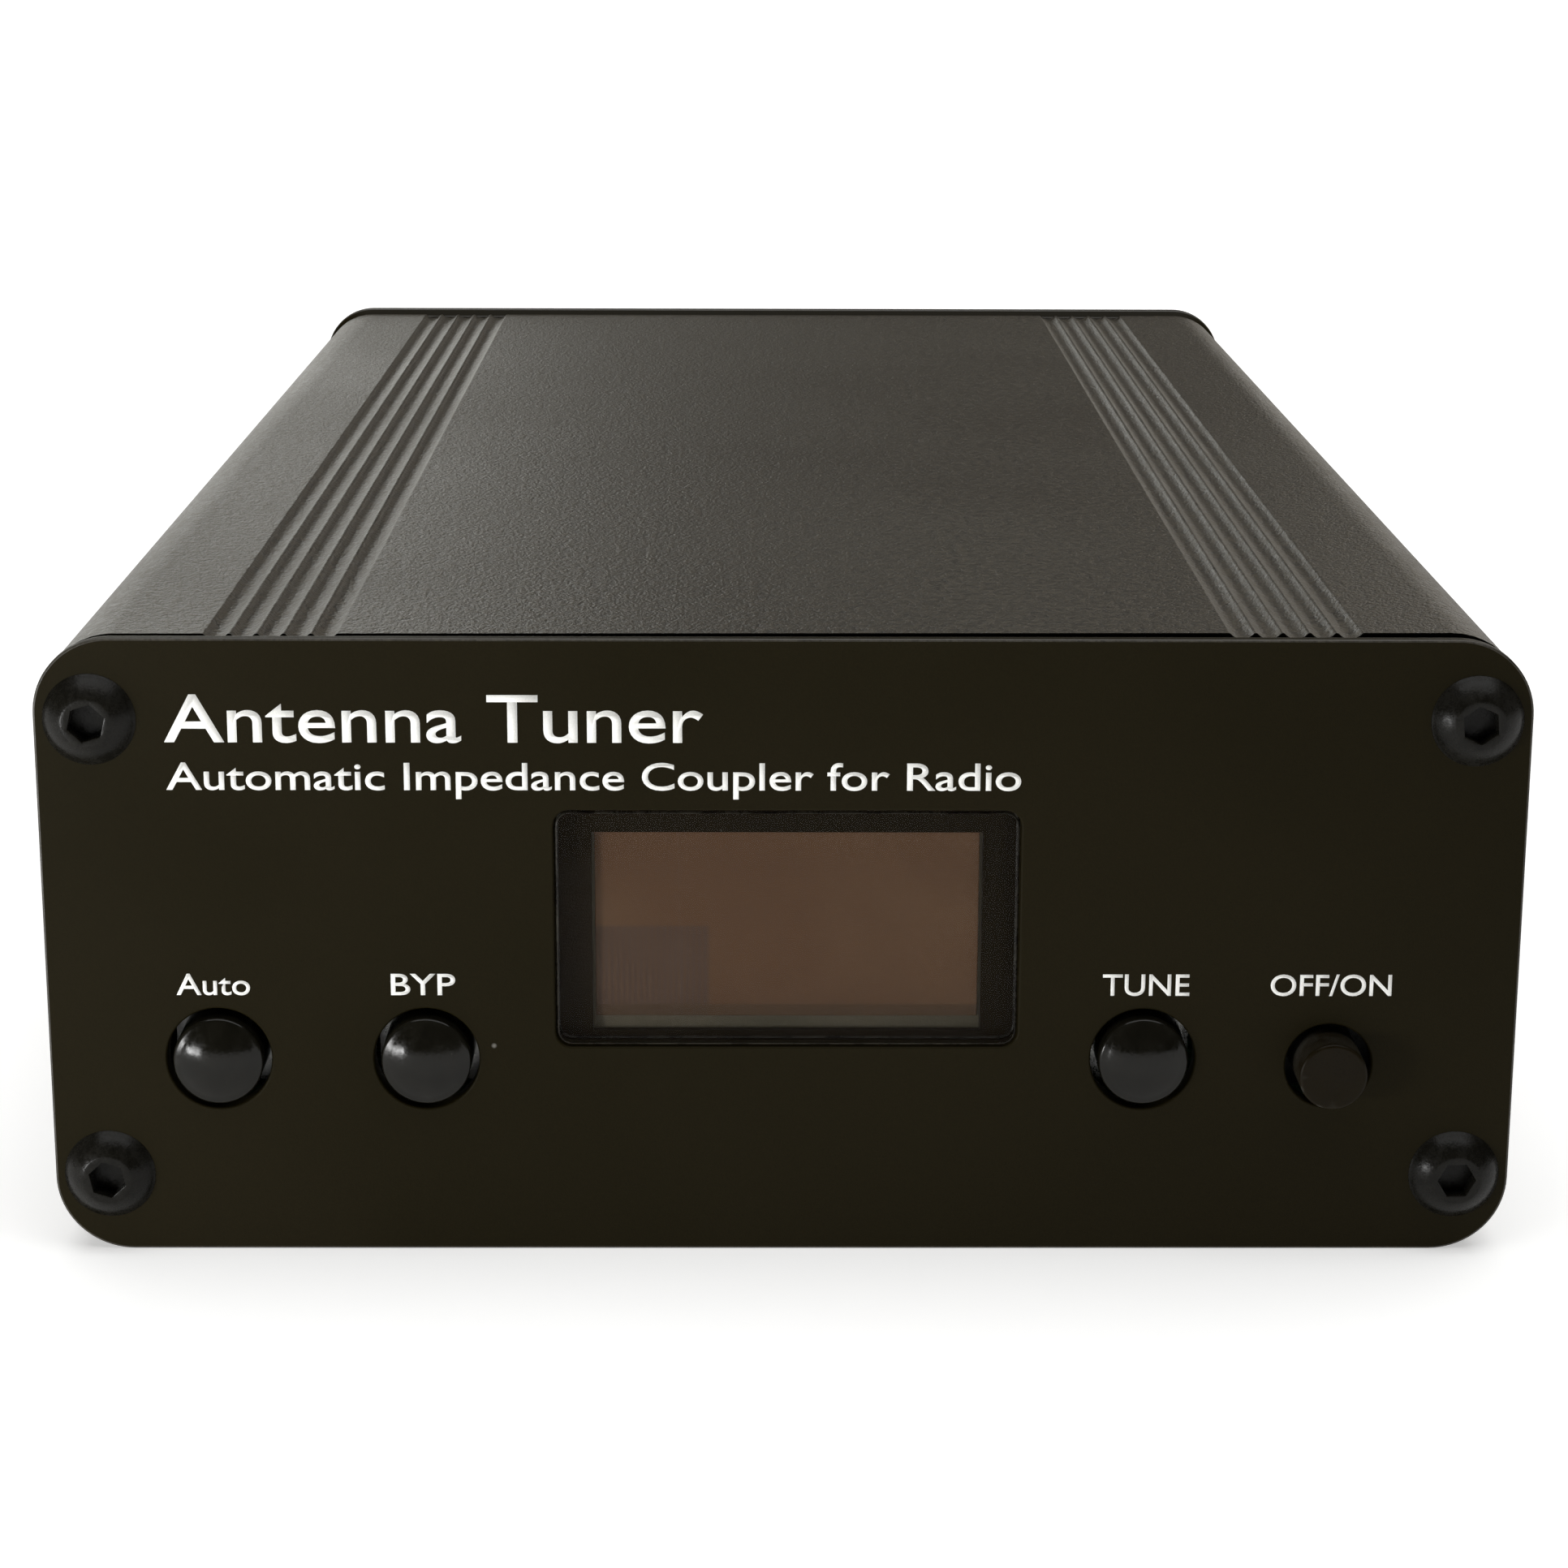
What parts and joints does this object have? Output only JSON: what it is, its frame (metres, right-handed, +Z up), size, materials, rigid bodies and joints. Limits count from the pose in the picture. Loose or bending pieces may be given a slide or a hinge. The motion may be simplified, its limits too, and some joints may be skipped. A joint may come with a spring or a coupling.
{
  "type": "antenna tuner",
  "caption": "Compact automatic antenna tuner in a split black extruded case, with display window, push buttons, latching power button, coaxial sockets, power jack and ground stud.",
  "frame": {"origin": "middle of the whole object's footprint, on the surface it stands on", "axes": "+X right as seen from the front, +Y towards the rear connectors, +Z up; the front panel faces -Y"},
  "size_m": [0.088, 0.165, 0.0384],
  "materials": {
    "case_anodised": "fine blasted, black anodised, matte",
    "panel_anodised": "black anodised, smooth matte",
    "black_oxide_steel": "black oxide with a light oil sheen",
    "window_clear": "smoked clear acrylic, glossy",
    "tape_black": "matte black foam tape",
    "display_dark": "unlit display glass, brownish, glossy",
    "button_gloss": "glossy black moulded plastic",
    "stem_plastic": "dark moulded plastic",
    "plunger_plastic": "natural white moulded plastic",
    "sheet_steel": "bright tinned sheet steel",
    "spring_steel": "drawn spring wire",
    "board_laminate": "green solder mask on glass laminate",
    "display_laminate": "blue solder mask on glass laminate",
    "relay_case": "blue moulded case",
    "core_powder": "red coated iron-powder ring",
    "core_ferrite": "dark grey ferrite ring",
    "enamelled_copper": "enamelled copper wire",
    "capacitor_coat": "blue dipped coating",
    "line_jacket": "natural insulation sleeve",
    "chip_black": "moulded epoxy, fine matte",
    "sleeve_dark": "shrunk plastic sleeve",
    "connector_natural": "natural moulded plastic",
    "cable_grey": "grey flexible insulation",
    "nickel_brass": "nickel-plated brass",
    "insulator_white": "white fluoropolymer",
    "contact_silver": "silver-plated brass, lightly tarnished",
    "zinc_steel": "zinc-plated steel",
    "jack_black": "black moulded plastic",
    "lead_black": "black lead jacket",
    "lead_red": "red wire insulation",
    "lead_green": "green wire insulation"
  },
  "bodies": {
    "case": {"top_shell": "case_anodised", "bottom_shell": "case_anodised", "front_panel": "panel_anodised", "rear_panel": "panel_anodised", "front_panel_screws": "black_oxide_steel", "rear_panel_screws": "black_oxide_steel", "display_window": "window_clear", "window_tape": "tape_black", "display_glass": "display_dark", "display_board": "display_laminate", "display_header": "chip_black", "tact_switch_housings": "stem_plastic", "tact_switch_covers": "sheet_steel", "power_switch_housing": "stem_plastic", "power_switch_cover": "sheet_steel", "power_spring": "spring_steel", "main_board": "board_laminate", "relays": "relay_case", "ring_cores": "core_powder", "ring_windings": "enamelled_copper", "air_coils": "enamelled_copper", "disc_capacitors": "capacitor_coat", "coupler_cores": "core_ferrite", "coupler_windings": "enamelled_copper", "coupler_lines": "line_jacket", "controller_chip": "chip_black", "chip_socket": "chip_black", "driver_chips": "chip_black", "voltage_regulator": "chip_black", "filter_capacitors": "sleeve_dark", "board_connectors": "connector_natural", "display_cable": "cable_grey", "input_socket_shell": "nickel_brass", "input_socket_insulator": "insulator_white", "input_socket_contact": "contact_silver", "antenna_socket_shell": "nickel_brass", "antenna_socket_insulator": "insulator_white", "antenna_socket_contact": "contact_silver", "socket_screws": "zinc_steel", "socket_nuts": "zinc_steel", "dc_jack_body": "jack_black", "dc_jack_pin": "contact_silver", "dc_jack_nut": "zinc_steel", "ground_stud": "zinc_steel", "ground_nuts": "zinc_steel", "ground_washers": "zinc_steel", "ground_tag": "contact_silver", "input_lead": "lead_black", "antenna_lead": "lead_black", "power_leads": "lead_red", "ground_lead": "lead_green"},
    "auto_button": {"auto_button_cap": "button_gloss", "auto_switch_stem": "stem_plastic"},
    "bypass_button": {"bypass_button_cap": "button_gloss", "bypass_switch_stem": "stem_plastic"},
    "tune_button": {"tune_button_cap": "button_gloss", "tune_switch_stem": "stem_plastic"},
    "power_button": {"power_button_cap": "button_gloss", "power_switch_plunger": "plunger_plastic"}
  },
  "joints": [
    {"name": "auto_press", "type": "slide", "parent": "case", "child": "auto_button", "axis": [0, 1, 0], "range_m": [0, 0.0003], "stiffness_N_per_m": 600, "springref_m": -0.001},
    {"name": "bypass_press", "type": "slide", "parent": "case", "child": "bypass_button", "axis": [0, 1, 0], "range_m": [0, 0.0003], "stiffness_N_per_m": 600, "springref_m": -0.001},
    {"name": "tune_press", "type": "slide", "parent": "case", "child": "tune_button", "axis": [0, 1, 0], "range_m": [0, 0.0003], "stiffness_N_per_m": 600, "springref_m": -0.001},
    {"name": "power_press", "type": "slide", "parent": "case", "child": "power_button", "axis": [0, 1, 0], "range_m": [0, 0.0019], "stiffness_N_per_m": 400, "springref_m": -0.002, "deforming": ["power_spring"]}
  ]
}
